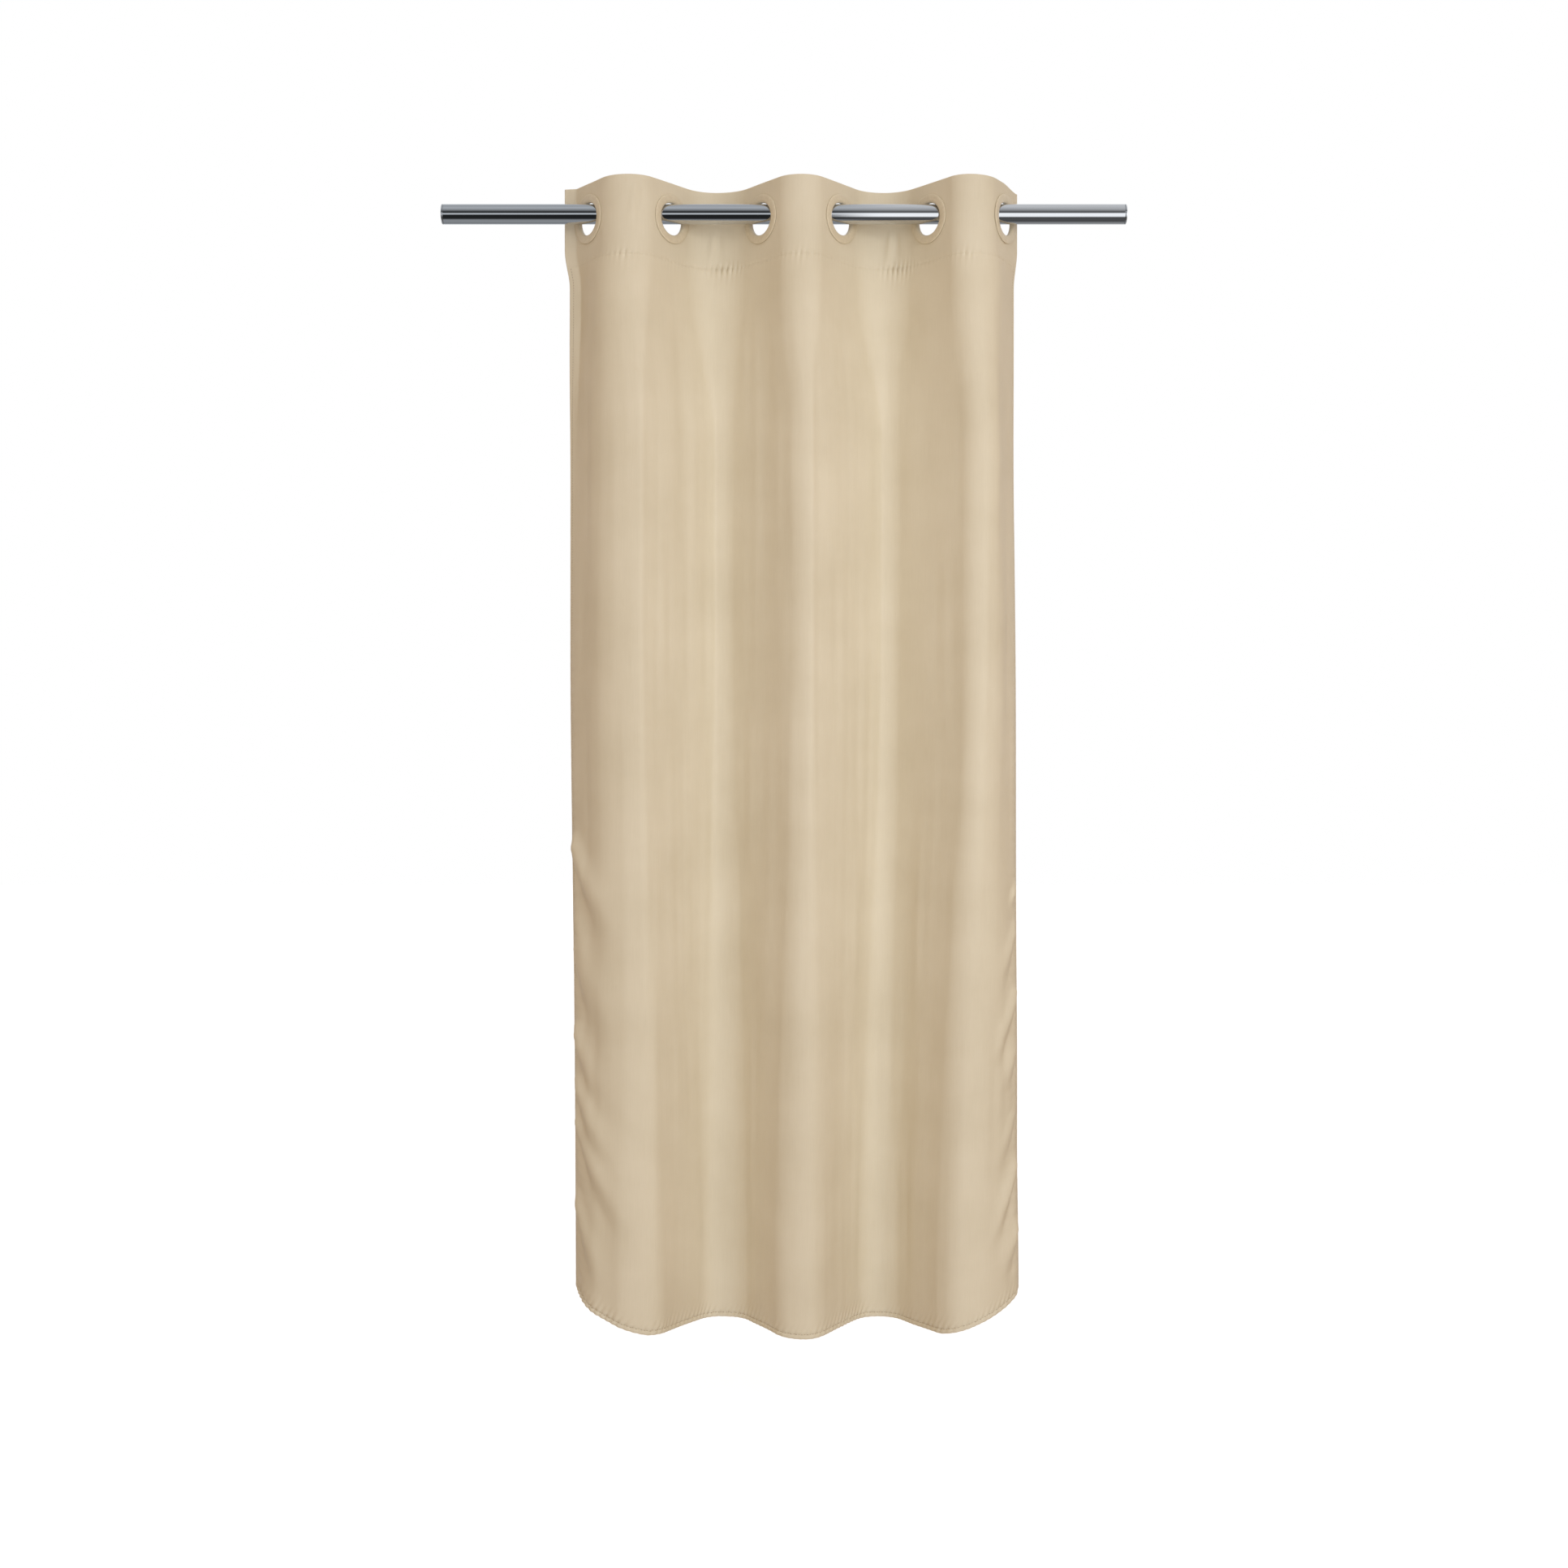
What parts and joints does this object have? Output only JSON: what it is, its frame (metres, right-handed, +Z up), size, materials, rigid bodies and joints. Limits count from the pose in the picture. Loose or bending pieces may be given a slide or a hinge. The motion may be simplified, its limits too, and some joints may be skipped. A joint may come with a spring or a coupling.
{
  "type": "eyelet curtain on a rod",
  "caption": "Fabric window curtain with lined ring eyelets in a stiffened heading, zigzagging along a round metal rod and gathering towards one end.",
  "frame": {"origin": "on the rod's axis at the middle of its length, where the rod is held up", "axes": "+X along the rod, +Y from the room towards the window, +Z up; the cloth hangs down -Z"},
  "size_m": [0.872, 0.0828, 1.456],
  "materials": {
    "rod_steel": "polished",
    "end_cap": "polished",
    "cloth": "satin",
    "stiffener": "matte",
    "eyelet_plastic": "satin"
  },
  "bodies": {
    "rod": {"rod_tube": "rod_steel", "end_cap_left": "end_cap", "end_cap_right": "end_cap"},
    "panel_1": {"panel_1_cloth": "cloth", "panel_1_stiffener": "stiffener", "eyelet_1_front_ring": "eyelet_plastic", "eyelet_1_back_ring": "eyelet_plastic"},
    "panel_2": {"panel_2_cloth": "cloth", "panel_2_stiffener": "stiffener", "eyelet_2_front_ring": "eyelet_plastic", "eyelet_2_back_ring": "eyelet_plastic"},
    "panel_3": {"panel_3_cloth": "cloth", "panel_3_stiffener": "stiffener", "eyelet_3_front_ring": "eyelet_plastic", "eyelet_3_back_ring": "eyelet_plastic"},
    "panel_4": {"panel_4_cloth": "cloth", "panel_4_stiffener": "stiffener", "eyelet_4_front_ring": "eyelet_plastic", "eyelet_4_back_ring": "eyelet_plastic"},
    "panel_5": {"panel_5_cloth": "cloth", "panel_5_stiffener": "stiffener", "eyelet_5_front_ring": "eyelet_plastic", "eyelet_5_back_ring": "eyelet_plastic"},
    "panel_6": {"panel_6_cloth": "cloth", "panel_6_stiffener": "stiffener", "eyelet_6_front_ring": "eyelet_plastic", "eyelet_6_back_ring": "eyelet_plastic"}
  },
  "joints": [
    {"name": "gather", "type": "hinge", "parent": "rod", "child": "panel_1", "pos_m": [-0.2484, 0, 0], "axis": [0, 0, -1], "range_deg": [0, 30]},
    {"name": "fold_1", "type": "hinge", "parent": "panel_1", "child": "panel_2", "pos_m": [-0.1962, -0.04, 0], "axis": [0, 0, 1], "range_deg": [0, 60]},
    {"name": "fold_2", "type": "hinge", "parent": "panel_2", "child": "panel_3", "pos_m": [-0.08625, 0.04, 0], "axis": [0, 0, -1], "range_deg": [0, 60]},
    {"name": "fold_3", "type": "hinge", "parent": "panel_3", "child": "panel_4", "pos_m": [0.02175, -0.04, 0], "axis": [0, 0, 1], "range_deg": [0, 60]},
    {"name": "fold_4", "type": "hinge", "parent": "panel_4", "child": "panel_5", "pos_m": [0.12875, 0.04, 0], "axis": [0, 0, -1], "range_deg": [0, 60]},
    {"name": "fold_5", "type": "hinge", "parent": "panel_5", "child": "panel_6", "pos_m": [0.23325, -0.04, 0], "axis": [0, 0, 1], "range_deg": [0, 60]}
  ],
  "couplings": [
    {"joint": "fold_1", "follows": "gather", "ratio": 2},
    {"joint": "fold_2", "follows": "gather", "ratio": 2},
    {"joint": "fold_3", "follows": "gather", "ratio": 2},
    {"joint": "fold_4", "follows": "gather", "ratio": 2},
    {"joint": "fold_5", "follows": "gather", "ratio": 2}
  ]
}
